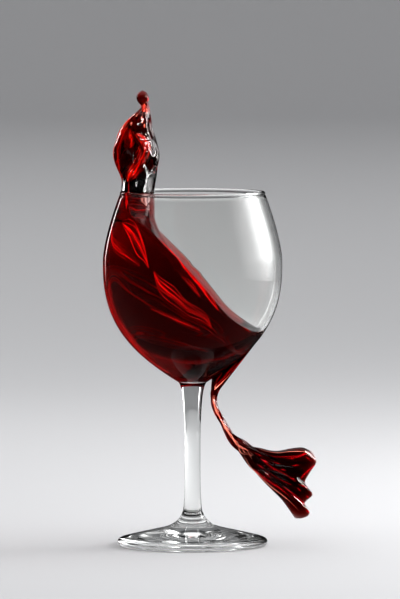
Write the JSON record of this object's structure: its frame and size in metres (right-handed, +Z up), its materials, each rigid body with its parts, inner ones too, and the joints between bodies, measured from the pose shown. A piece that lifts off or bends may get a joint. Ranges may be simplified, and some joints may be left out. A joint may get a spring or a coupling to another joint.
{
  "type": "glass of red wine",
  "caption": "Stemmed balloon wine glass whose red wine swings up one side, leaps above the rim and hangs in a fan-shaped splash under the bowl.",
  "frame": {"origin": "on the axis of the glass, in the plane of the foot's base", "axes": "+Z up along the glass's axis, -X towards the side that the wine climbs, +X towards the hanging splash"},
  "size_m": [0.12, 0.101, 0.2568],
  "materials": {
    "clear_glass": "clear, polished",
    "red_wine": "clear liquid, deep red"
  },
  "bodies": {
    "root": {"glass": "clear_glass", "wine": "red_wine", "hanging_splash": "red_wine"}
  },
  "joints": []
}
